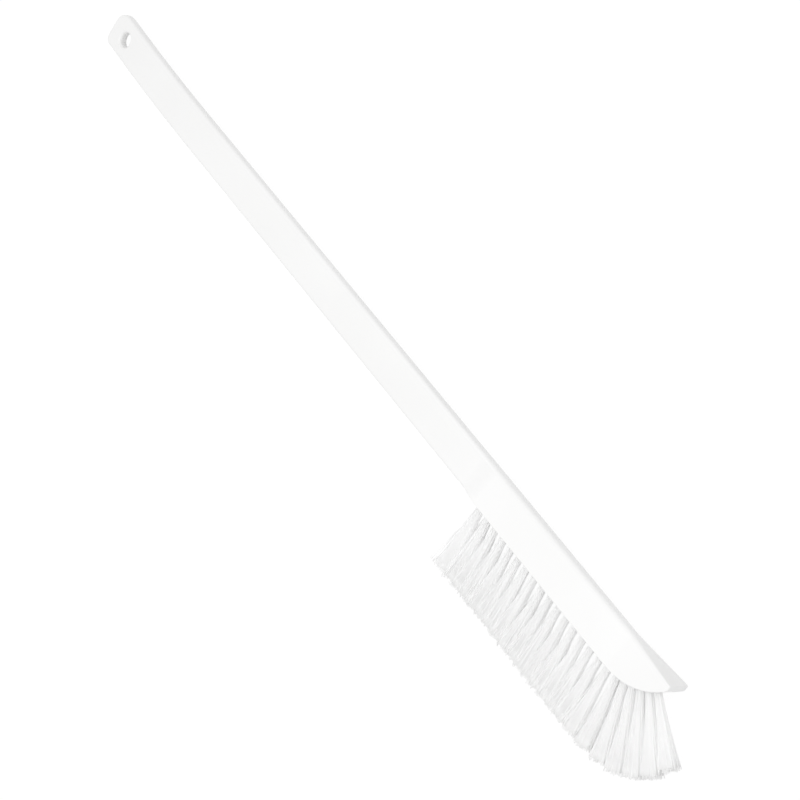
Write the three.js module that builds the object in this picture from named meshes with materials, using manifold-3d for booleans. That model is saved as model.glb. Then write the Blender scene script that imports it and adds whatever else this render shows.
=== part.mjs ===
// Narrow cleaning brush with a long flat handle.
// One moulding is the handle and the brush back. Two staggered rows of filament tufts stand in holes drilled in its
// underside and fan out round the nose, and a steel anchor at the bottom of each hole grips the tuft's fold.
// Millimetres, +Z up. The brush lies on its broad side: X runs to the nose, and the bristles point to -Y.

import * as THREE from "three";
import { mergeVertices } from "three/addons/utils/BufferGeometryUtils.js";
import Module from "manifold-3d";

const wasm = await Module();
wasm.setup();

const { clamp, degToRad, lerp, smoothstep } = THREE.MathUtils;

// Handle
const LENGTH = 600; // handle end to nose tip
const HANDLE_HEIGHT = 24; // back edge to lower edge
const HANDLE_THICKNESS = 7;
const EDGE_ROUND = 1.3; // rounding of the long edges
const END_ROUND = 6.5; // radius of the two corners that end the handle
const END_LIFT = 3.2; // the grip end curves up by this much
const END_LIFT_LENGTH = 110;
const HANG_HOLE_FROM_END = 16.2;
const HANG_HOLE_RADIUS = 4.8;
const HANG_HOLE_RIM = 2.2; // bevel round both mouths of the hang hole

// Brush back
const BASE_WIDTH = 17;
const BASE_DEPTH = 22.3; // back edge to underside
const BASE_LEAD = 3.5; // the underside has its full width this far behind the first tuft
const BASE_FLARE_LENGTH = 16; // the handle widens into the back over this length
const TOP_FLARE_LENGTH = 38; // the back edge widens to the nose tip over this length
const TIP_THICKNESS = 3.4;
const TIP_CORNER = 1.2; // rounding of the nose tip's two corners, seen from above
const NOSE_RADIUS = 46; // the underside climbs to the tip on this arc

// Tufts and anchors
const ROW_TUFTS = 17; // evenly spaced tufts of each row
const NOSE_TUFTS = { upper: 6, lower: 4 }; // fanned tufts of each row
const PITCH = 7.64;
const LAST_EVEN_TUFT = -0.6; // of the upper row, past the start of the nose's arc
const NOSE_TUFT_MARGIN = 9.3; // last tuft to the nose tip, along the underside
const ROW_OFFSET = 3; // each row to the middle plane, at the underside
const ROW_SPLAY = degToRad(6); // the rows lean away from each other
const ROW_LEAN = degToRad(7); // all tufts lean towards the nose
const FAN_GAIN = 1.14; // and the fanned ones lean on by this share of the underside's climb
const HOLE_RADIUS = 2.2;
const HOLE_DEPTH = 6;
const BRISTLE_LENGTH = 43.5; // underside to the trimmed tips
const FAN_EXTRA = 3.5; // the middle tuft of the fan is trimmed this much longer
const TIP_HALF_WIDTH = 9.2; // the tips reach this far from the middle plane
const TIP_INNER = 0.8; // and come this close to it
const TIP_SPREAD = 1.85; // a tuft is this much longer along the row at its tips than at its root
const STRAND_RADIUS = 0.42;
const STRAND_RINGS = [
  { count: 3, radius: 0.62 },
  { count: 6, radius: 1.65 },
];
const SLICE = 1.5; // thickness of the slice of the back that carries the strands
const SLICE_MARGIN = 0.8; // least width of slice beside a hole
const CHANNEL_WALL = 1.6; // beside the channel that holds the slices
const ANCHOR_HEIGHT = 1.6;
const ANCHOR_THICKNESS = 0.5;
const CLEARANCE = 0.3; // between the pieces

// Facets
const CORNER_STEPS = 3;
const NOSE_STEPS = 6;
const HOLE_SIDES = 8;
const HANG_HOLE_SIDES = 28;

// Places that follow from the sizes above, along the underside from the handle's end
const noseAngle = Math.acos(1 - (BASE_DEPTH - TIP_THICKNESS) / NOSE_RADIUS);
const noseArc = NOSE_RADIUS * noseAngle;
const noseStart = LENGTH - NOSE_RADIUS * Math.sin(noseAngle);
const undersideEnd = noseStart + noseArc;
const lastEven = noseStart + LAST_EVEN_TUFT;
const firstTuft = lastEven - (ROW_TUFTS - 1) * PITCH;
const noseTuftsRun = undersideEnd - NOSE_TUFT_MARGIN - lastEven;
const nosePitch = (noseTuftsRun - PITCH / 2) / (NOSE_TUFTS.upper - 0.5);
const baseStart = firstTuft - BASE_LEAD;
const sliceStart = firstTuft - HOLE_RADIUS - SLICE_MARGIN;
const sliceEnd = undersideEnd - NOSE_TUFT_MARGIN + HOLE_RADIUS + SLICE_MARGIN;
const channelHalf = BASE_WIDTH / 2 - CHANNEL_WALL;

const plastic = new THREE.MeshStandardMaterial({ color: 0xf6f6f4, roughness: 0.42, metalness: 0 });
const filament = new THREE.MeshStandardMaterial({ color: 0xf2f2ef, roughness: 0.5, metalness: 0 });
const steel = new THREE.MeshStandardMaterial({ color: 0xb9bcc0, roughness: 0.35, metalness: 1 });

// Solids from geometries, and back

function toSolid(geometry) {
  const bare = geometry.clone();
  bare.deleteAttribute("normal");
  bare.deleteAttribute("uv");
  const merged = mergeVertices(bare, 1e-4);
  const vertProperties = merged.attributes.position.array;
  const triVerts = new Uint32Array(merged.index.array);
  return new wasm.Manifold(new wasm.Mesh({ numProp: 3, vertProperties, triVerts }));
}

function toGeometry(solid) {
  const { vertProperties, triVerts } = solid.getMesh();
  const geometry = new THREE.BufferGeometry();
  geometry.setAttribute("position", new THREE.BufferAttribute(new Float32Array(vertProperties), 3));
  geometry.setIndex(new THREE.BufferAttribute(new Uint32Array(triVerts), 1));
  geometry.computeVertexNormals();
  return geometry;
}

function makePiece(name, geometry, material) {
  const mesh = new THREE.Mesh(geometry, material.clone());
  mesh.name = name;
  return mesh;
}

// Outlines of the moulding, seen from the side

// The grip end's rise above the straight handle.
function endLift(x) {
  const share = Math.max(END_LIFT_LENGTH - x, 0) / END_LIFT_LENGTH;
  return END_LIFT * share * share;
}

// Half the height of the handle's rounded end, as a share of the full half height.
function endShare(x) {
  const left = Math.max(END_ROUND - x, 0);
  const corner = END_ROUND - Math.sqrt(END_ROUND * END_ROUND - left * left);
  return 1 - corner / (HANDLE_HEIGHT / 2);
}

// Point on the underside at a distance along it, with the angle that it has climbed there.
function underside(along) {
  const climb = clamp((along - noseStart) / NOSE_RADIUS, 0, noseAngle);
  return {
    x: Math.min(along, noseStart) + NOSE_RADIUS * Math.sin(climb),
    y: -BASE_DEPTH + NOSE_RADIUS * (1 - Math.cos(climb)),
    climb,
  };
}

// Distances along the underside, close together where it curves.
function undersideStations(from, to) {
  const steps = Array.from({ length: NOSE_STEPS }, (_, i) => noseStart + (i * noseArc) / NOSE_STEPS);
  return [from, ...steps.filter((along) => along > from + EDGE_ROUND && along < to - EDGE_ROUND), to];
}

// Cross sections and the skin through them

function roundedSection(x, { top, bottom, halfTop, halfBase, round }) {
  const corners = [
    new THREE.Vector2(bottom, -halfBase),
    new THREE.Vector2(top, -halfTop),
    new THREE.Vector2(top, halfTop),
    new THREE.Vector2(bottom, halfBase),
  ];
  return corners.flatMap((corner, i) => {
    const towards = (other) => {
      const side = other.clone().sub(corner);
      return side.setLength(Math.min(round, side.length() * 0.45)).add(corner);
    };
    const before = towards(corners[(i + 3) % 4]);
    const after = towards(corners[(i + 1) % 4]);
    const curve = new THREE.QuadraticBezierCurve(before, corner, after);
    return curve.getPoints(CORNER_STEPS).map((point) => new THREE.Vector3(x, point.x, point.y));
  });
}

function handleSection(x) {
  const middle = -HANDLE_HEIGHT / 2 + endLift(x);
  const half = (HANDLE_HEIGHT / 2) * endShare(x);
  const thickness = HANDLE_THICKNESS / 2;
  return roundedSection(x, {
    top: middle + half,
    bottom: middle - half,
    halfTop: thickness,
    halfBase: thickness,
    round: EDGE_ROUND,
  });
}

// The handle's lower edge widens into the underside.
function flareSection(share) {
  const blend = smoothstep(share, 0, 1);
  return roundedSection(baseStart + (share - 1) * BASE_FLARE_LENGTH, {
    top: 0,
    bottom: -lerp(HANDLE_HEIGHT, BASE_DEPTH, blend),
    halfTop: HANDLE_THICKNESS / 2,
    halfBase: lerp(HANDLE_THICKNESS, BASE_WIDTH, blend) / 2,
    round: EDGE_ROUND,
  });
}

// At the nose the underside climbs, and the back edge widens until both have the underside's width.
function noseSection(x) {
  const run = Math.max(x - noseStart, 0);
  const rise = NOSE_RADIUS - Math.sqrt(NOSE_RADIUS * NOSE_RADIUS - run * run);
  const flare = Math.max(1 - (LENGTH - x) / TOP_FLARE_LENGTH, 0);
  const intoCorner = Math.max(1 - (LENGTH - x) / TIP_CORNER, 0);
  const cut = TIP_CORNER * (1 - Math.sqrt(1 - intoCorner * intoCorner));
  return roundedSection(x, {
    top: 0,
    bottom: rise - BASE_DEPTH,
    halfTop: lerp(HANDLE_THICKNESS, BASE_WIDTH, flare) / 2 - cut,
    halfBase: BASE_WIDTH / 2 - cut,
    round: EDGE_ROUND,
  });
}

// A closed skin through sections with equal counts of points, which run along +X and are capped at both ends.
function loft(sections) {
  const count = sections[0].length;
  const faces = [];
  for (let s = 0; s + 1 < sections.length; s++) {
    for (let i = 0; i < count; i++) {
      const a = s * count + i;
      const b = s * count + ((i + 1) % count);
      faces.push(a, b, b + count, a, b + count, a + count);
    }
  }
  const last = (sections.length - 1) * count;
  for (let i = 1; i + 1 < count; i++) {
    faces.push(0, i + 1, i, last, last + i, last + i + 1);
  }
  const geometry = new THREE.BufferGeometry().setFromPoints(sections.flat());
  geometry.setIndex(faces);
  return geometry;
}

function mouldingSkin() {
  const endTurns = [12, 26, 42, 58, 74, 90].map(degToRad);
  const endStations = endTurns.map((turn) => END_ROUND * (1 - Math.cos(turn)));
  const liftStations = [0.3, 0.6, 1].map((share) => share * END_LIFT_LENGTH);
  const flareShares = [0, 0.25, 0.5, 0.75, 1];
  const cornerStations = [1, 0.5, 0.15, 0].map((share) => LENGTH - share * TIP_CORNER);
  const noseStations = undersideStations(noseStart, undersideEnd)
    .map((along) => underside(along).x)
    .filter((x) => x < LENGTH - 2 * TIP_CORNER);
  const fromNose = [LENGTH - TOP_FLARE_LENGTH, ...noseStations, ...cornerStations].sort((a, b) => a - b);
  return loft([
    ...[...endStations, ...liftStations].map(handleSection),
    ...flareShares.map(flareSection),
    ...fromNose.map(noseSection),
  ]);
}

// A band that follows the underside, from an offset outside it to one inside the back, between two heights.
function undersideBand(from, to, outside, inside, low, high) {
  const at = (along, offset) => {
    const { x, y, climb } = underside(along);
    return new THREE.Vector2(x - offset * Math.sin(climb), y + offset * Math.cos(climb));
  };
  const stations = undersideStations(from, to);
  const outer = stations.map((along) => at(along, -outside));
  const inner = stations.map((along) => at(along, inside)).reverse();
  const shape = new THREE.Shape([...outer, ...inner]);
  const band = new THREE.ExtrudeGeometry(shape, { depth: high - low, bevelEnabled: false });
  return toSolid(band.translate(0, 0, low));
}

// Where the tufts stand, and how they lean: out is the way out of the hole, and side runs along the row

function makeTuft(row, along) {
  const { x, y, climb } = underside(along);
  const lean = ROW_LEAN + FAN_GAIN * climb;
  const fanShare = clamp((along - lastEven) / noseTuftsRun, 0, 1);
  const length = BRISTLE_LENGTH + FAN_EXTRA * Math.sin(Math.PI * fanShare);
  const side = new THREE.Vector3(Math.cos(lean), Math.sin(lean), 0);
  const down = new THREE.Vector3(Math.sin(lean), -Math.cos(lean), 0);
  const out = down.clone().multiplyScalar(Math.cos(ROW_SPLAY));
  out.z = row * Math.sin(ROW_SPLAY);
  return { row, along, side, down, out, length, root: new THREE.Vector3(x, y, row * ROW_OFFSET) };
}

// The lower row stands half a pitch ahead of the upper one.
function makeRow(row) {
  const ahead = row > 0 ? 0 : 0.5;
  const last = lastEven + ahead * PITCH;
  const firstInNose = lastEven + PITCH / 2 + (0.5 + ahead) * nosePitch;
  const even = Array.from({ length: ROW_TUFTS }, (_, i) => makeTuft(row, last - (ROW_TUFTS - 1 - i) * PITCH));
  const name = row > 0 ? "upper" : "lower";
  const nose = Array.from({ length: NOSE_TUFTS[name] }, (_, i) => makeTuft(row, firstInNose + i * nosePitch));
  return { name, even, nose };
}

// A cylinder on the tuft's axis, between two distances out of the underside.
function tuftCylinder({ root, out }, radius, from, to) {
  const cylinder = new THREE.CylinderGeometry(radius, radius, to - from, HOLE_SIDES);
  const turn = new THREE.Quaternion().setFromUnitVectors(new THREE.Vector3(0, -1, 0), out);
  const centre = root.clone().addScaledVector(out, (from + to) / 2);
  return cylinder.applyQuaternion(turn).translate(centre.x, centre.y, centre.z);
}

// A plate that stands across the tuft's hole, between two distances out of the underside.
function tuftPlate({ root, side, out }, width, thickness, from, to) {
  const plate = new THREE.BoxGeometry(thickness, to - from, width);
  const up = out.clone().negate();
  const across = new THREE.Vector3().crossVectors(side, up);
  const centre = root.clone().addScaledVector(out, (from + to) / 2);
  return plate.applyMatrix4(new THREE.Matrix4().makeBasis(side, up, across).setPosition(centre));
}

// The handle and back, with the hang hole, the channel for the slices and the drilled holes

function hangHole() {
  const half = HANDLE_THICKNESS / 2;
  const mouth = HANG_HOLE_RADIUS + HANG_HOLE_RIM;
  const profile = [
    [0, -2 * half],
    [mouth, -2 * half],
    [mouth, -half],
    [HANG_HOLE_RADIUS, HANG_HOLE_RIM - half],
    [HANG_HOLE_RADIUS, half - HANG_HOLE_RIM],
    [mouth, half],
    [mouth, 2 * half],
    [0, 2 * half],
  ].map(([radius, height]) => new THREE.Vector2(radius, height));
  const hole = new THREE.LatheGeometry(profile, HANG_HOLE_SIDES);
  const middle = -HANDLE_HEIGHT / 2 + endLift(HANG_HOLE_FROM_END);
  return toSolid(hole.rotateX(Math.PI / 2).translate(HANG_HOLE_FROM_END, middle, 0));
}

function makeMoulding(tufts) {
  const holes = tufts.map((tuft) => toSolid(tuftCylinder(tuft, HOLE_RADIUS, -HOLE_DEPTH, 2 * SLICE)));
  const depth = SLICE + CLEARANCE;
  const channel = undersideBand(
    sliceStart - CLEARANCE,
    sliceEnd + CLEARANCE,
    depth,
    depth,
    -channelHalf,
    channelHalf,
  );
  const cuts = wasm.Manifold.union([hangHole(), channel, ...holes]);
  return toGeometry(toSolid(mouldingSkin()).subtract(cuts));
}

// Strands, with the folded roots that fill the holes, joined by a slice of the back

// One filament. Its place in the tuft is stretched from root to tip, so that no two filaments cross.
function makeStrand(tuft, sideways, across) {
  const ring = STRAND_RINGS.at(-1).radius;
  const share = (tuft.row * across + ring) / (2 * ring);
  const root = tuft.root.clone().addScaledVector(tuft.side, sideways);
  root.z += across;
  const tip = tuft.root.clone().addScaledVector(tuft.side, sideways * TIP_SPREAD);
  tip.addScaledVector(tuft.down, tuft.length);
  tip.z = tuft.row * lerp(TIP_INNER, TIP_HALF_WIDTH, share);
  const way = tip.clone().sub(root).normalize();
  root.addScaledVector(way, -SLICE / 2);
  const corners = [90, 210, 330].map(degToRad);
  const section = new THREE.Shape(
    corners.map((turn) => new THREE.Vector2(Math.cos(turn), Math.sin(turn)).multiplyScalar(STRAND_RADIUS)),
  );
  const strand = new THREE.ExtrudeGeometry(section, { depth: root.distanceTo(tip), bevelEnabled: false });
  const turn = new THREE.Quaternion().setFromUnitVectors(new THREE.Vector3(0, 0, 1), way);
  return toSolid(strand.applyQuaternion(turn).translate(root.x, root.y, root.z));
}

function makeStrands(tuft) {
  return STRAND_RINGS.flatMap(({ count, radius }) => {
    const turns = Array.from({ length: count }, (_, i) => Math.PI / 2 + (2 * Math.PI * i) / count);
    return turns.map((turn) => makeStrand(tuft, radius * Math.cos(turn), radius * Math.sin(turn)));
  });
}

// The anchor's seat, as distances out of the underside: negative is inside the back.
const anchorTop = CLEARANCE - HOLE_DEPTH;
const anchorBottom = anchorTop + ANCHOR_HEIGHT;

// The folded filaments fill the hole, and the anchor sits in their fold.
function makeRoot(tuft) {
  const plug = toSolid(tuftCylinder(tuft, HOLE_RADIUS - CLEARANCE, anchorTop, -SLICE / 2));
  const foldWidth = ANCHOR_THICKNESS + 2 * CLEARANCE;
  const fold = tuftPlate(tuft, 2 * HOLE_RADIUS, foldWidth, anchorTop - CLEARANCE, anchorBottom + CLEARANCE);
  return plug.subtract(toSolid(fold));
}

function makeTuftGroup(tufts, from, to) {
  const inner = CLEARANCE / 2;
  const outer = channelHalf - CLEARANCE;
  const [low, high] = tufts[0].row > 0 ? [inner, outer] : [-outer, -inner];
  const slice = undersideBand(from, to, 0, SLICE, low, high);
  return toGeometry(wasm.Manifold.union([slice, ...tufts.map(makeRoot), ...tufts.flatMap(makeStrands)]));
}

function makeAnchor(tuft) {
  return tuftPlate(tuft, 2 * (HOLE_RADIUS - CLEARANCE), ANCHOR_THICKNESS, anchorTop, anchorBottom);
}

// The whole brush: X from the handle's end, Y from the back edge, Z from the middle plane

const brush = new THREE.Group();
const rows = [makeRow(1), makeRow(-1)];
const allTufts = rows.flatMap(({ even, nose }) => [...even, ...nose]);
brush.add(makePiece("handle_moulding", makeMoulding(allTufts), plastic));
for (const { name, even, nose } of rows) {
  const split = (even.at(-1).along + nose[0].along) / 2;
  const half = CLEARANCE / 2;
  brush.add(makePiece(`tufts_${name}_row`, makeTuftGroup(even, sliceStart, split - half), filament));
  brush.add(makePiece(`tufts_${name}_nose`, makeTuftGroup(nose, split + half, sliceEnd), filament));
  [...even, ...nose].forEach((tuft, i) => {
    const number = String(i + 1).padStart(2, "0");
    brush.add(makePiece(`anchor_${name}_${number}`, makeAnchor(tuft), steel));
  });
}

// The part's origin is under the middle of the brush, on the surface that it lies on.
const box = new THREE.Box3().setFromObject(brush, true);
const middle = box.getCenter(new THREE.Vector3());
brush.position.set(-middle.x, -middle.y, -box.min.z);

const part = new THREE.Group();
part.add(brush);

export default part;
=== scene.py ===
import math
import random

import bmesh
import bpy
from mathutils import Matrix, Vector


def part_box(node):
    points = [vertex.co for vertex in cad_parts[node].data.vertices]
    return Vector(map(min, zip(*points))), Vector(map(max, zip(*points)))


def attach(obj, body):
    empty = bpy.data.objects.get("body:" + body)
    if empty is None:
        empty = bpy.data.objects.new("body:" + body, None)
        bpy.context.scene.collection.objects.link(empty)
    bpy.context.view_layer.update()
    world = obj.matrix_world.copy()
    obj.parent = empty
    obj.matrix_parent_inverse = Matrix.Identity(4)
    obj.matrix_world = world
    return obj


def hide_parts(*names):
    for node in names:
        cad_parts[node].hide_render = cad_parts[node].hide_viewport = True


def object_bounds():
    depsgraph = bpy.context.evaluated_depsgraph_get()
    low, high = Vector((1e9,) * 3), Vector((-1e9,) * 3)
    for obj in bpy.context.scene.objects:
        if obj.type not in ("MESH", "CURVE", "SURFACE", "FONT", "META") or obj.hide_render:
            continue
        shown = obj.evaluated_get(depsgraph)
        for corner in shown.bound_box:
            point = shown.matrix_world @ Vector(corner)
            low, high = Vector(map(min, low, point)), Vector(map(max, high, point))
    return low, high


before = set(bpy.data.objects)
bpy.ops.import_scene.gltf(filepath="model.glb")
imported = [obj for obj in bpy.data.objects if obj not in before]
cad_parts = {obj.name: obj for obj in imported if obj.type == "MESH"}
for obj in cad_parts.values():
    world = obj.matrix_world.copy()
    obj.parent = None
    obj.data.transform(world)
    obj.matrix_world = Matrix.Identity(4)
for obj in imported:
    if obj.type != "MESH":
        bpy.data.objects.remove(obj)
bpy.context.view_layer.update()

MM = 0.001
MERGE_DISTANCE = 1e-6

# Handle, in millimetres
LENGTH = 600
HANDLE_HEIGHT = 24
HANDLE_THICKNESS = 7
BACK_ROUND = 2.6
BASE_ROUND = 0.9
END_ROUND_BACK = 9
END_ROUND_FRONT = 5.5
END_LIFT = 3.2
END_LIFT_LENGTH = 110
HANG_HOLE_FROM_END = 16.2
HANG_HOLE_RADIUS = 4.5
HANG_HOLE_RIM = 2.7
HANG_HOLE_SIDES = 48
RIM_TURNS = [math.radians(degrees) for degrees in range(0, 90, 15)]
RIM_PROUD = 0.12

# Brush back
BASE_WIDTH = 17
BASE_DEPTH = 22.3
BASE_LEAD = 3.5
BASE_FLARE_LENGTH = 16
TOP_FLARE_LENGTH = 38
TIP_THICKNESS = 3.4
TIP_STATION = 3
TIP_CORNER = 1.2
TIP_ROUND = 0.6
NOSE_RADIUS = 46

# How finely the moulding is lofted
ARC_STEPS = 5
ARC_REACH = 0.48
END_STEPS = 14
END_FIRST_DEGREES = 8
LIFT_STEPS = 10
LIFT_FIRST_STEP = 3
FLARE_STEPS = 12
NOSE_STEPS = 22
TIP_SHARES = (1, 0.5, 0.25, 0.1, 0.02, 0)
SHARP_ANGLE = math.radians(38)

# Tufts
ROW_TUFTS = 17
NOSE_TUFTS = {"upper": 6, "lower": 4}
PITCH = 7.64
LAST_EVEN_TUFT = -0.6
NOSE_TUFT_MARGIN = 9.3
ROW_OFFSET = 3
ROW_SPLAY = math.radians(6)
ROW_LEAN = math.radians(7)
FAN_GAIN = 1.14
HOLE_RADIUS = 2.2
HOLE_DEPTH = 6
HOLE_SIDES = 20
DRILL_PROUD = 4
BRISTLE_LENGTH = 43.5
FAN_EXTRA = 4.3
FAN_SKEW = 1.4
LAST_SHORT = 2.5

# Filaments of a tuft
FILAMENTS = 92
FILAMENT_RADIUS = 0.24
FILAMENT_SIDES = 4
STEPS = (0, 0.28, 0.52, 0.76, 1)
ROOT_RADIUS = {"upper": 1.95, "lower": 1.5}
ROOT_INSIDE = 3.6
TIP_MIDDLE = 4.4
TIP_HALF = (5.75, 4.1)
SPREAD_EASE = 1.5
SPREAD_JITTER = 0.05
TIP_JITTER = 0.3
TRIM_JITTER = 0.25
CLUMP = 1.7
CLUMP_TRIM = 0.55
ROW_SWAY = {"upper": 0, "lower": -1.3}
NOSE_SWAY = 0.9
BOW = 0.18
CORE_SIDES = 24
CORE_FILL = 0.9
CORE_SHORT = 1.3
LEAVES_CORE = 5
FIRST_SEED = 41

# The first tuft of a row, which is straight on its outer side and has stray filaments
FIRST_EASE = 1
FIRST_SPREAD = 1.5
STRAYS = 8
STRAY_REACH = (7, 11.5)
STRAY_BOW = (-1.2, 0.4)
STRAY_SHORT = 2.5

# Floor and light, in metres and watts
FLOOR_HALF = 4.0
FLOOR_GLOW = 1.05
FLOOR_GLOW_SHARE = 0.9
DOME = 0.78
LAMP_POWER = 9.2
LAMP_SIZE = 1.4
LAMP_PLACE = (0.35, 0.35, 1.5)

# White filaments stay bright only if light may go on among them for long.
BOUNCES = 160

# The camera, in the brush's own millimetres
CAMERA = (1134.5, 583.3, 1108.4)
CAMERA_RIGHT = Vector((0.53581, 0.52192, -0.66371))
CAMERA_DOWN = Vector((0.65928, -0.74971, -0.05731))
CAMERA_LENS = 117
CAMERA_SENSOR = 36
CAMERA_REACH = 20

# Places along the underside that follow from the sizes
nose_angle = math.acos(1 - (BASE_DEPTH - TIP_THICKNESS) / NOSE_RADIUS)
nose_start = LENGTH - NOSE_RADIUS * math.sin(nose_angle)
underside_end = nose_start + NOSE_RADIUS * nose_angle
last_even = nose_start + LAST_EVEN_TUFT
first_tuft = last_even - (ROW_TUFTS - 1) * PITCH
nose_tufts_run = underside_end - NOSE_TUFT_MARGIN - last_even
nose_pitch = (nose_tufts_run - PITCH / 2) / (NOSE_TUFTS["upper"] - 0.5)
base_start = first_tuft - BASE_LEAD

# The sizes above count from the handle's end, the back edge and the middle plane.
low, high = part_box("handle_moulding")
origin = Vector((high.x - LENGTH * MM, low.y + HANDLE_HEIGHT * MM, (low.z + high.z) / 2))


def place(x, y, z):
    return origin + MM * Vector((x, y, z))


# Meshes


def new_piece(name, bm):
    mesh = bpy.data.meshes.new(name)
    bm.to_mesh(mesh)
    bm.free()
    piece = bpy.data.objects.new(name, mesh)
    bpy.context.scene.collection.objects.link(piece)
    return piece


def drawn_on(bm, face):
    """Extrudes a face and returns the new end; only a body's first face stays, as its other end."""
    inner = any(len(edge.link_faces) > 1 for edge in face.edges)
    made = bmesh.ops.extrude_face_region(bm, geom=[face])["geom"]
    if inner:
        bmesh.ops.delete(bm, geom=[face], context="FACES_ONLY")
    return next(item for item in made if isinstance(item, bmesh.types.BMFace))


def applied(piece):
    """The piece with its modifiers made part of a plain mesh."""
    depsgraph = bpy.context.evaluated_depsgraph_get()
    mesh = bpy.data.meshes.new_from_object(piece.evaluated_get(depsgraph))
    name = piece.name
    bpy.data.objects.remove(piece)
    mesh.name = name
    plain = bpy.data.objects.new(name, mesh)
    bpy.context.scene.collection.objects.link(plain)
    return plain


# The moulding: rounded cross sections, lofted by extruding, then drilled


def end_lift(x):
    return END_LIFT * (max(END_LIFT_LENGTH - x, 0) / END_LIFT_LENGTH) ** 2


def eased(run, size):
    """How far a rounding of this radius still cuts in at this run from its end."""
    left = max(size - run, 0)
    return size - math.sqrt(size * size - left * left)


def section(x, top, bottom, half_top, half_base, top_round, base_round):
    """Points round a cross section, with an arc at each of its four corners."""
    corners = [Vector((bottom, -half_base)), Vector((top, -half_top)),
               Vector((top, half_top)), Vector((bottom, half_base))]
    points = []
    for number, size in enumerate((base_round, top_round, top_round, base_round)):
        corner = corners[number]
        before = corners[number - 1] - corner
        after = corners[(number + 1) % 4] - corner
        start = corner + before * min(size / before.length, ARC_REACH)
        stop = corner + after * min(size / after.length, ARC_REACH)
        for step in range(ARC_STEPS + 1):
            share = step / ARC_STEPS
            y, z = start.lerp(corner, share).lerp(corner.lerp(stop, share), share)
            points.append(place(x, y, z))
    return points


def handle_section(x):
    middle = end_lift(x) - HANDLE_HEIGHT / 2
    top = middle + HANDLE_HEIGHT / 2 - eased(x, END_ROUND_BACK)
    bottom = middle - HANDLE_HEIGHT / 2 + eased(x, END_ROUND_FRONT)
    half = HANDLE_THICKNESS / 2 - eased(x, BACK_ROUND)
    return section(x, top, bottom, half, half, BACK_ROUND, BACK_ROUND)


def flare_section(share):
    blend = share * share * (3 - 2 * share)
    depth = HANDLE_HEIGHT + (BASE_DEPTH - HANDLE_HEIGHT) * blend
    width = HANDLE_THICKNESS + (BASE_WIDTH - HANDLE_THICKNESS) * blend
    base_round = BACK_ROUND + (BASE_ROUND - BACK_ROUND) * blend
    x = base_start + (share - 1) * BASE_FLARE_LENGTH
    return section(x, 0, -depth, HANDLE_THICKNESS / 2, width / 2, BACK_ROUND, base_round)


def nose_section(x):
    run = max(x - nose_start, 0)
    rise = NOSE_RADIUS - math.sqrt(NOSE_RADIUS * NOSE_RADIUS - run * run)
    flare = max(1 - (LENGTH - x) / TOP_FLARE_LENGTH, 0)
    narrower = eased(LENGTH - x, TIP_CORNER)
    lower = eased(LENGTH - x, TIP_ROUND)
    half_top = (HANDLE_THICKNESS + (BASE_WIDTH - HANDLE_THICKNESS) * flare) / 2 - narrower
    half_base = BASE_WIDTH / 2 - narrower
    top_round = BACK_ROUND + (TIP_ROUND - BACK_ROUND) * flare
    return section(x, -lower, rise - BASE_DEPTH + lower, half_top, half_base, top_round, BASE_ROUND)


def moulding_sections():
    """Sections from the handle's end to the nose tip, close together where the shape turns."""
    end_sweep = 90 - END_FIRST_DEGREES
    turns = [math.radians(END_FIRST_DEGREES + end_sweep * i / END_STEPS) for i in range(END_STEPS + 1)]
    end = [handle_section(END_ROUND_BACK * (1 - math.cos(turn))) for turn in turns]
    lift = [handle_section(END_LIFT_LENGTH * i / LIFT_STEPS) for i in range(LIFT_FIRST_STEP, LIFT_STEPS + 1)]
    flare = [flare_section(i / FLARE_STEPS) for i in range(FLARE_STEPS + 1)]
    arc_xs = [nose_start + NOSE_RADIUS * math.sin(nose_angle * i / NOSE_STEPS) for i in range(NOSE_STEPS)]
    tip_xs = [LENGTH - TIP_CORNER * share for share in TIP_SHARES]
    nose_xs = [LENGTH - TOP_FLARE_LENGTH] + [x for x in arc_xs if x < LENGTH - TIP_STATION] + tip_xs
    return end + lift + flare + [nose_section(x) for x in sorted(nose_xs)]


def loft(sections):
    """A closed skin through the sections; the layer keeps each vertex's place in its section."""
    bm = bmesh.new()
    place_of = bm.verts.layers.int.new("place")
    bmesh.ops.create_circle(bm, cap_ends=True, segments=len(sections[0]), radius=1)
    bm.faces.ensure_lookup_table()
    face = bm.faces[0]
    for number, vert in enumerate(face.verts):
        vert[place_of] = number
        vert.co = sections[0][number]
    for points in sections[1:]:
        face = drawn_on(bm, face)
        for vert in face.verts:
            vert.co = points[vert[place_of]]
    return bm


def add_hang_hole_bit(bm):
    """A bit with rounded rims, spun round the hang hole's axis and standing proud of both sides."""
    half = HANDLE_THICKNESS / 2
    rim = [(HANG_HOLE_RADIUS + HANG_HOLE_RIM * (1 - math.cos(turn)),
            half + RIM_PROUD - HANG_HOLE_RIM * (1 - math.sin(turn))) for turn in RIM_TURNS]
    outer = rim[-1][0]
    below = [(0, -HANDLE_THICKNESS), (outer, -HANDLE_THICKNESS)] + [(r, -z) for r, z in reversed(rim)]
    above = rim + [(outer, HANDLE_THICKNESS), (0, HANDLE_THICKNESS)]
    middle = end_lift(HANG_HOLE_FROM_END) - HANDLE_HEIGHT / 2
    centre = place(HANG_HOLE_FROM_END, middle, 0)
    verts = [bm.verts.new(centre + MM * Vector((r, 0, z))) for r, z in below + above]
    edges = [bm.edges.new(pair) for pair in zip(verts, verts[1:])]
    bmesh.ops.spin(bm, geom=verts + edges, cent=centre, axis=(0, 0, 1), angle=2 * math.pi,
                   steps=HANG_HOLE_SIDES, use_merge=True)
    bmesh.ops.remove_doubles(bm, verts=bm.verts, dist=MERGE_DISTANCE)


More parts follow.
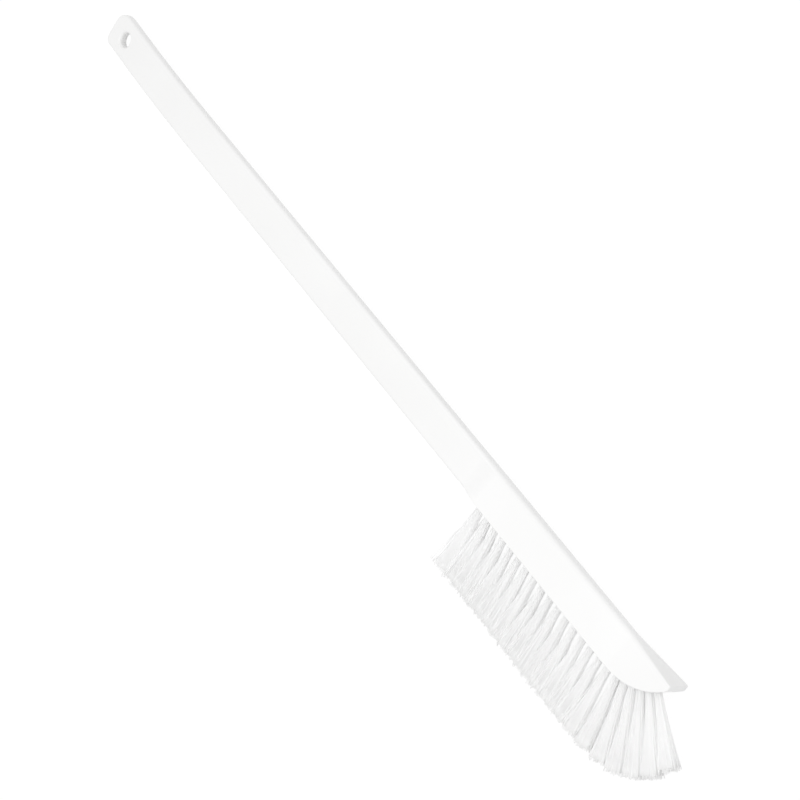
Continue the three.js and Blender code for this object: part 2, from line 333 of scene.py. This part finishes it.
def drill_bits(tufts):
    """Everything that is cut out of the moulding: the hang hole and the tuft holes."""
    bm = bmesh.new()
    add_hang_hole_bit(bm)
    depth = HOLE_DEPTH + DRILL_PROUD
    radius = HOLE_RADIUS * MM
    for tuft in tufts:
        turn = Vector((0, 0, 1)).rotation_difference(tuft["out"]).to_matrix().to_4x4()
        spot = tuft["root"] + MM * (depth / 2 - HOLE_DEPTH) * tuft["out"]
        bmesh.ops.create_cone(bm, cap_ends=True, segments=HOLE_SIDES, radius1=radius, radius2=radius,
                              depth=depth * MM, matrix=Matrix.Translation(spot) @ turn)
    bmesh.ops.recalc_face_normals(bm, faces=bm.faces)
    return new_piece("drill_bits", bm)


def make_moulding(tufts):
    bm = loft(moulding_sections())
    bmesh.ops.recalc_face_normals(bm, faces=bm.faces)
    piece = new_piece("brush_moulding", bm)
    bits = drill_bits(tufts)
    cut = piece.modifiers.new("drill", "BOOLEAN")
    cut.operation = "DIFFERENCE"
    cut.solver = "EXACT"
    cut.object = bits
    piece = applied(piece)
    bpy.data.objects.remove(bits)
    piece.data.shade_smooth()
    piece.data.set_sharp_from_angle(angle=SHARP_ANGLE)
    level = piece.modifiers.new("flat sides", "WEIGHTED_NORMAL")
    level.keep_sharp = True
    return piece


# Where the tufts stand, and how they lean


def make_tuft(name, along):
    row = 1 if name == "upper" else -1
    climb = min(max((along - nose_start) / NOSE_RADIUS, 0), nose_angle)
    x = min(along, nose_start) + NOSE_RADIUS * math.sin(climb)
    y = NOSE_RADIUS * (1 - math.cos(climb)) - BASE_DEPTH
    lean = ROW_LEAN + FAN_GAIN * climb
    down = Vector((math.sin(lean), -math.cos(lean), 0))
    out = math.cos(ROW_SPLAY) * down + Vector((0, 0, row * math.sin(ROW_SPLAY)))
    fan_share = min(max((along - last_even) / nose_tufts_run, 0), 1)
    longer = FAN_EXTRA * math.sin(math.pi * fan_share ** FAN_SKEW)
    shorter = LAST_SHORT * fan_share ** 3
    return {
        "row": row,
        "radius": ROOT_RADIUS[name],
        "root": place(x, y, row * ROW_OFFSET),
        "side": Vector((math.cos(lean), math.sin(lean), 0)),
        "down": down,
        "out": out,
        "length": BRISTLE_LENGTH + longer - shorter,
        "ease": SPREAD_EASE,
        "sway": ROW_SWAY[name],
        "strays": 0,
        "clumps": {},
    }


def make_row(name):
    """The even tufts and the fanned nose tufts of a row; the two part a little where they meet."""
    ahead = 0 if name == "upper" else 0.5
    last = last_even + ahead * PITCH
    first_in_nose = last_even + PITCH / 2 + (0.5 + ahead) * nose_pitch
    even = [make_tuft(name, last - (ROW_TUFTS - 1 - i) * PITCH) for i in range(ROW_TUFTS)]
    nose = [make_tuft(name, first_in_nose + i * nose_pitch) for i in range(NOSE_TUFTS[name])]
    even[0]["strays"] = STRAYS
    even[0]["ease"] = FIRST_EASE
    even[-1]["sway"] += NOSE_SWAY
    nose[0]["sway"] -= NOSE_SWAY
    return even, nose


# Filaments: a thin four-sided rod, repeated and bent to each filament's own points. The filaments inside
# a tuft can't be told apart and are one core.


def spread_tip(tuft, sideways, across, gain):
    """Where the tip of a root stands from the tuft's axis: the tips of a round tuft fill an oblong."""
    square = gain / tuft["radius"] * math.hypot(sideways, across) / max(abs(sideways), abs(across))
    u = tuft["sway"] + sideways * square * TIP_HALF[0]
    w = tuft["row"] * (TIP_MIDDLE - ROW_OFFSET) + across * square * TIP_HALF[1]
    return u, w


def bent(tuft, root, tip, bow, length, start):
    """Points from inside the hole, or from further down, to the tip."""
    points = []
    for step in STEPS:
        share = start + (1 - start) * step
        swell = 4 * max(share, 0) * (1 - share)
        spread = max(share, 0) ** tuft["ease"]
        u, w = (a + (b - a) * spread + c * swell for a, b, c in zip(root, tip, bow))
        away = u * tuft["side"] + length * share * tuft["down"] + Vector((0, 0, w))
        points.append(tuft["root"] + MM * away)
    return points


def filament_points(tuft, sideways, across, draw, stray):
    """An outer filament starts inside the hole, and one inside the core only where it leaves the core."""
    tip_side, tip_across = spread_tip(tuft, sideways, across, draw.gauss(1, SPREAD_JITTER))
    tip_side += draw.gauss(0, TIP_JITTER)
    tip_across += draw.gauss(0, TIP_JITTER)
    clump = round(tip_side / CLUMP), round(tip_across / CLUMP)
    clump_trim = tuft["clumps"].setdefault(clump, draw.gauss(0, CLUMP_TRIM))
    length = tuft["length"] + clump_trim + draw.gauss(0, TRIM_JITTER)
    bow_side = draw.gauss(0, BOW)
    bow_across = draw.gauss(0, BOW)
    if tuft["strays"] and sideways < 0:
        tip_side *= FIRST_SPREAD
    if stray:
        tip_side = -draw.uniform(*STRAY_REACH)
        bow_side = draw.uniform(*STRAY_BOW)
        length -= draw.uniform(0, STRAY_SHORT)
    inside = math.hypot(sideways, across) < CORE_FILL * tuft["radius"] and not stray
    start = 1 - LEAVES_CORE / length if inside else -ROOT_INSIDE / length
    return bent(tuft, (sideways, across), (tip_side, tip_across), (bow_side, bow_across), length, start)


def tuft_filaments(tuft, draw):
    """Roots packed round the hole's middle, as a sunflower packs its seeds."""
    golden = math.pi * (3 - math.sqrt(5))
    first_turn = draw.uniform(0, 2 * math.pi)
    for number in range(FILAMENTS):
        radius = tuft["radius"] * math.sqrt((number + 0.5) / FILAMENTS)
        turn = first_turn + number * golden
        stray = number >= FILAMENTS - tuft["strays"]
        yield filament_points(tuft, radius * math.cos(turn), radius * math.sin(turn), draw, stray)


def core_points(tuft, turn):
    """Points down the core's side at one turn round the tuft's axis."""
    radius = CORE_FILL * tuft["radius"]
    root = (radius * math.cos(turn), radius * math.sin(turn))
    length = tuft["length"] - CORE_SHORT
    tip = spread_tip(tuft, *root, length / tuft["length"])
    return bent(tuft, root, tip, (0, 0), length, -ROOT_INSIDE / length)


def make_rod(sides):
    """A rod of unit radius with a ring at each whole height."""
    bm = bmesh.new()
    bmesh.ops.create_circle(bm, cap_ends=True, segments=sides, radius=1)
    bm.faces.ensure_lookup_table()
    face = bm.faces[0]
    for _ in STEPS[1:]:
        face = drawn_on(bm, face)
        bmesh.ops.translate(bm, verts=face.verts, vec=(0, 0, 1))
    bmesh.ops.recalc_face_normals(bm, faces=bm.faces)
    mesh = bpy.data.meshes.new("rod")
    bm.to_mesh(mesh)
    bm.free()
    return mesh


def add_rods(bm, sides, count):
    """Adds this many rods and returns the vertices of each."""
    rod = make_rod(sides)
    each = len(rod.vertices)
    first = len(bm.verts)
    for _ in range(count):
        bm.from_mesh(rod)
    bpy.data.meshes.remove(rod)
    bm.verts.ensure_lookup_table()
    return [bm.verts[begin:begin + each] for begin in range(first, len(bm.verts), each)]


def add_filaments(bm, tufts, layers, draw):
    paths = [(tuft, points) for tuft in tufts for points in tuft_filaments(tuft, draw)]
    for verts, (tuft, points) in zip(add_rods(bm, FILAMENT_SIDES, len(paths)), paths):
        tone = draw.random()
        turn = draw.uniform(0, math.pi / 2)
        for vert in verts:
            step = round(vert.co.z)
            x = vert.co.x * math.cos(turn) - vert.co.y * math.sin(turn)
            y = vert.co.x * math.sin(turn) + vert.co.y * math.cos(turn)
            vert.co = points[step] + FILAMENT_RADIUS * MM * (x * tuft["side"] + Vector((0, 0, y)))
            vert[layers["tone"]] = tone
            vert[layers["along"]] = STEPS[step]


def add_cores(bm, tufts, layers, draw):
    for verts, tuft in zip(add_rods(bm, CORE_SIDES, len(tufts)), tufts):
        tones = [draw.random() for _ in range(CORE_SIDES)]
        for vert in verts:
            turn = math.atan2(vert.co.y, vert.co.x)
            step = round(vert.co.z)
            vert.co = core_points(tuft, turn)[step]
            vert[layers["tone"]] = tones[round(turn / (2 * math.pi) * CORE_SIDES) % CORE_SIDES]
            vert[layers["along"]] = STEPS[step]


def make_bristles(name, tufts, seed):
    draw = random.Random(seed)
    bm = bmesh.new()
    names = ("tone", "along")
    for layer in names:
        bm.verts.layers.float.new(layer)
    layers = {layer: bm.verts.layers.float[layer] for layer in names}
    add_filaments(bm, tufts, layers, draw)
    add_cores(bm, tufts, layers, draw)
    return new_piece(name, bm)


# Materials

SEEN_RAYS = ("Is Camera Ray", "Is Glossy Ray", "Is Transmission Ray")
GREEN_WARMTH = 0.2


def grey(level, warmth=0.0):
    return (level, level * (1 - GREEN_WARMTH * warmth), level * (1 - warmth), 1)


class Value:
    """A number that changes over a surface; sums with it add the nodes that work it out."""

    def __init__(self, tree, socket):
        self.tree = tree
        self.socket = socket

    def sum(self, operation, first, second):
        node = self.tree.nodes.new("ShaderNodeMath")
        node.operation = operation
        for slot, item in zip(node.inputs, (first, second)):
            if isinstance(item, Value):
                self.tree.links.new(item.socket, slot)
            else:
                slot.default_value = item
        return Value(self.tree, node.outputs[0])

    def __add__(self, other):
        return self.sum("ADD", self, other)

    def __radd__(self, other):
        return self.sum("ADD", other, self)

    def __sub__(self, other):
        return self.sum("SUBTRACT", self, other)

    def __rsub__(self, other):
        return self.sum("SUBTRACT", other, self)

    def __mul__(self, other):
        return self.sum("MULTIPLY", self, other)

    def __rmul__(self, other):
        return self.sum("MULTIPLY", other, self)


class Nodes:
    """A node tree under construction."""

    def __init__(self, tree):
        self.tree = tree

    def node(self, kind, settings=None, sockets=None, out=0):
        node = self.tree.nodes.new(kind)
        for name, value in (settings or {}).items():
            setattr(node, name, value)
        self.fill(node, sockets or {})
        return Value(self.tree, node.outputs[out])

    def fill(self, node, sockets):
        for name, value in sockets.items():
            if isinstance(value, Value):
                self.tree.links.new(value.socket, node.inputs[name])
            else:
                node.inputs[name].default_value = value

    def seen(self):
        """1 for a ray that shows the backdrop and 0 for one that gathers light."""
        return sum((self.node("ShaderNodeLightPath", out=ray) for ray in SEEN_RAYS), 0)


class Finish(Nodes):
    """A material under construction."""

    def __init__(self, name):
        self.material = bpy.data.materials.new(name)
        self.material.use_nodes = True
        super().__init__(self.material.node_tree)
        self.shader = self.tree.nodes["Principled BSDF"]
        self.output = self.tree.nodes["Material Output"]

    def surface(self, sockets):
        self.fill(self.shader, sockets)
        return self.material

    def mixed(self, factor, other):
        """The finished shader with another one mixed in."""
        shader = Value(self.tree, self.shader.outputs[0])
        mix = self.node("ShaderNodeMixShader", sockets={0: factor, 1: shader, 2: other})
        self.fill(self.output, {"Surface": mix})
        return self.material

    def place(self):
        return self.node("ShaderNodeTexCoord", out="Object")

    def stretched(self, scale):
        return self.node("ShaderNodeMapping", sockets={"Vector": self.place(), "Scale": scale})

    def noise(self, vector, scale=1.0, detail=2.0, roughness=0.5):
        return self.node("ShaderNodeTexNoise", sockets={"Vector": vector, "Scale": scale, "Detail": detail,
                                                        "Roughness": roughness})

    def between(self, factor, first, second):
        return self.node("ShaderNodeMix", {"data_type": "RGBA"}, {0: factor, 6: first, 7: second}, out=2)

    def spread(self, value, start, end):
        return self.node("ShaderNodeMapRange", {"interpolation_type": "SMOOTHSTEP"},
                         {"Value": value, "From Min": start, "From Max": end})

    def bump(self, height, distance, strength):
        return self.node("ShaderNodeBump", sockets={"Height": height, "Distance": distance,
                                                    "Strength": strength})

    def attribute(self, name):
        return self.node("ShaderNodeAttribute", {"attribute_name": name}, out="Fac")


def moulded_white():
    """White plastic with faint clouds, flow lines along the handle, a fine grain and rubbed streaks."""
    finish = Finish("moulded_white")
    cloud = finish.spread(finish.noise(finish.place(), scale=14, detail=3), start=0.3, end=0.7)
    flow = finish.noise(finish.stretched((6, 60, 60)), detail=3)
    grain = finish.noise(finish.place(), scale=2400)
    streaks = finish.noise(finish.stretched((25, 260, 260)), detail=4, roughness=0.6)
    rub = finish.spread(streaks, start=0.55, end=0.8)
    return finish.surface({
        "Base Color": finish.between(cloud, grey(0.877, 0.005), grey(0.897, 0.003)),
        "Roughness": 0.36 + 0.1 * flow + 0.08 * rub,
        "Normal": finish.bump(grain, distance=0.00004, strength=0.25),
        "IOR": 1.49,
    })


def white_filament():
    """Filaments that let half of the light through, each of its own tone, with rougher cut tips darkened by
    painted shade.
    """
    finish = Finish("white_filament")
    tone = finish.attribute("tone")
    tip = finish.spread(finish.attribute("along"), start=0.93, end=1.0)
    body = finish.between(tone, grey(0.976, 0.0005), grey(0.990, 0.0005))
    finish.surface({
        # The base colour goes toward grey near the tips: painted shade at the trimmed ends.
        "Base Color": finish.between(tip * 0.5, body, grey(0.74, 0.01)),
        "Roughness": 0.34 + 0.16 * tone + 0.2 * tip,
        "IOR": 1.5,
    })
    through = finish.node("ShaderNodeBsdfTranslucent", sockets={"Color": grey(0.986)})
    return finish.mixed(0.5 - 0.25 * tip, through)


def anchor_steel():
    """Steel with the fine lines of drawn wire."""
    finish = Finish("anchor_steel")
    drawn = finish.noise(finish.stretched((4000, 400, 400)), detail=3)
    return finish.surface({
        "Base Color": finish.between(drawn, grey(0.52), grey(0.64)),
        "Roughness": 0.26 + 0.2 * drawn,
        "Metallic": 1.0,
        "Normal": finish.bump(drawn, distance=0.00003, strength=0.3),
    })


def pale_floor():
    """A white floor that the camera sees brighter than it lights, with the brush's shadow on it."""
    finish = Finish("pale_floor")
    paper = finish.noise(finish.place(), scale=40, detail=3)
    finish.surface({
        "Base Color": finish.between(paper, grey(0.79), grey(0.82)),
        "Roughness": 0.9,
    })
    glow = finish.node("ShaderNodeEmission", sockets={"Color": grey(1.0), "Strength": FLOOR_GLOW})
    return finish.mixed(finish.seen() * FLOOR_GLOW_SHARE, glow)


def dress(piece, material):
    piece.data.materials.clear()
    piece.data.materials.append(material)


# The brush

rows = {name: make_row(name) for name in NOSE_TUFTS}
all_tufts = [tuft for even, nose in rows.values() for tuft in even + nose]
plastic = moulded_white()
filament = white_filament()
steel = anchor_steel()

moulding = make_moulding(all_tufts)
dress(moulding, plastic)
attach(moulding, "root")
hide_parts("handle_moulding")

seed = FIRST_SEED
for name, (even, nose) in rows.items():
    for part, tufts in (("row", even), ("nose", nose)):
        bristles = make_bristles(f"bristles_{name}_{part}", tufts, seed)
        seed += 1
        dress(bristles, filament)
        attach(bristles, "root")
        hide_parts(f"tufts_{name}_{part}")

for name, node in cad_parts.items():
    if name.startswith("anchor_"):
        dress(node, steel)

# Floor, light and camera

scene = bpy.context.scene
floor_mesh = bmesh.new()
bmesh.ops.create_grid(floor_mesh, x_segments=1, y_segments=1, size=FLOOR_HALF)
bmesh.ops.translate(floor_mesh, verts=floor_mesh.verts, vec=(0, 0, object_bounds()[0][2]))
floor = new_piece("floor", floor_mesh)
dress(floor, pale_floor())

world = bpy.data.worlds.new("studio")
scene.world = world
world.use_nodes = True
studio = Nodes(world.node_tree)
dome = world.node_tree.nodes["Background"]
studio.fill(dome, {"Color": grey(1.0), "Strength": DOME + (1 - DOME) * studio.seen()})

lamp = bpy.data.lights.new("overhead", "AREA")
lamp.energy = LAMP_POWER
lamp.size = LAMP_SIZE
overhead = bpy.data.objects.new("overhead", lamp)
overhead.location = LAMP_PLACE
scene.collection.objects.link(overhead)

camera_data = bpy.data.cameras.new("camera")
camera_data.lens = CAMERA_LENS
camera_data.sensor_width = CAMERA_SENSOR
camera_data.clip_end = CAMERA_REACH
camera = bpy.data.objects.new("camera", camera_data)
camera_back = CAMERA_RIGHT.cross(-CAMERA_DOWN)
camera_turn = Matrix((CAMERA_RIGHT, -CAMERA_DOWN, camera_back)).transposed().to_4x4()
camera.matrix_world = Matrix.Translation(place(*CAMERA)) @ camera_turn
scene.collection.objects.link(camera)
scene.camera = camera

scene.view_settings.view_transform = "Standard"
for kind in ("max_bounces", "diffuse_bounces", "glossy_bounces", "transmission_bounces"):
    setattr(scene.cycles, kind, BOUNCES)
